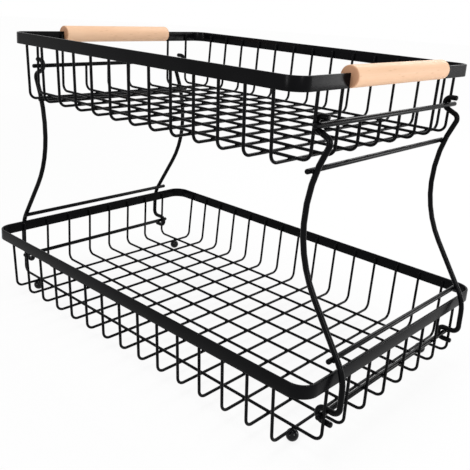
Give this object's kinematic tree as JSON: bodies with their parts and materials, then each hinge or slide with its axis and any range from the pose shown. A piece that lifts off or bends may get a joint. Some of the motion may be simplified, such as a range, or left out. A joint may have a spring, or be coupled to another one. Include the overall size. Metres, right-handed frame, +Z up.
{
  "type": "tiered wire basket",
  "caption": "tiered wire basket: a small rectangular wire basket with wooden grips, held over a larger one on ball feet by hooked wire side frames",
  "frame": {"origin": "on the ground under the middle of the lower basket", "axes": "X along the baskets, through both handles; Y across them; Z up"},
  "size_m": [0.4256, 0.2606, 0.2788],
  "materials": {
    "black_coat": "satin",
    "foot_enamel": "gloss",
    "handle_wood": "satin"
  },
  "bodies": {
    "lower_basket": {"lower_rim": "black_coat", "lower_cross_wire_01": "black_coat", "lower_cross_wire_02": "black_coat", "lower_cross_wire_03": "black_coat", "lower_cross_wire_04": "black_coat", "lower_cross_wire_05": "black_coat", "lower_cross_wire_06": "black_coat", "lower_cross_wire_07": "black_coat", "lower_cross_wire_08": "black_coat", "lower_cross_wire_09": "black_coat", "lower_cross_wire_10": "black_coat", "lower_cross_wire_11": "black_coat", "lower_cross_wire_12": "black_coat", "lower_cross_wire_13": "black_coat", "lower_cross_wire_14": "black_coat", "lower_cross_wire_15": "black_coat", "lower_long_wire_01": "black_coat", "lower_long_wire_02": "black_coat", "lower_long_wire_03": "black_coat", "lower_long_wire_04": "black_coat", "lower_long_wire_05": "black_coat", "lower_long_wire_06": "black_coat", "lower_long_wire_07": "black_coat", "lower_long_wire_08": "black_coat", "lower_left_rod": "black_coat", "lower_right_rod": "black_coat", "ball_feet": "foot_enamel"},
    "right_frame": {"right_front_leg": "black_coat", "right_back_leg": "black_coat", "right_frame_bars": "black_coat"},
    "left_frame": {"left_front_leg": "black_coat", "left_back_leg": "black_coat", "left_frame_bars": "black_coat"},
    "upper_basket": {"upper_rim": "black_coat", "upper_cross_wire_01": "black_coat", "upper_cross_wire_02": "black_coat", "upper_cross_wire_03": "black_coat", "upper_cross_wire_04": "black_coat", "upper_cross_wire_05": "black_coat", "upper_cross_wire_06": "black_coat", "upper_cross_wire_07": "black_coat", "upper_cross_wire_08": "black_coat", "upper_cross_wire_09": "black_coat", "upper_cross_wire_10": "black_coat", "upper_cross_wire_11": "black_coat", "upper_cross_wire_12": "black_coat", "upper_cross_wire_13": "black_coat", "upper_long_wire_01": "black_coat", "upper_long_wire_02": "black_coat", "upper_long_wire_03": "black_coat", "upper_long_wire_04": "black_coat", "upper_long_wire_05": "black_coat", "upper_long_wire_06": "black_coat", "upper_long_wire_07": "black_coat", "upper_long_wire_08": "black_coat", "upper_left_rod": "black_coat", "upper_right_rod": "black_coat", "left_handle": "handle_wood", "right_handle": "handle_wood"}
  },
  "joints": [
    {"name": "right_frame_sway", "type": "hinge", "parent": "lower_basket", "child": "right_frame", "pos_m": [0.19742, 0, 0.03235], "axis": [0, 1, 0], "range_deg": [-2.5, 2.5]},
    {"name": "left_frame_sway", "type": "hinge", "parent": "lower_basket", "child": "left_frame", "pos_m": [-0.19742, 0, 0.03235], "axis": [0, 1, 0], "range_deg": [-2.5, 2.5]},
    {"name": "upper_basket_swing", "type": "hinge", "parent": "right_frame", "child": "upper_basket", "pos_m": [0.17168, 0, 0.23985], "axis": [0, 1, 0], "range_deg": [-2.9, 2.9]}
  ],
  "couplings": [
    {"joint": "left_frame_sway", "follows": "right_frame_sway", "ratio": 1},
    {"joint": "upper_basket_swing", "follows": "right_frame_sway", "ratio": -1.1499}
  ]
}
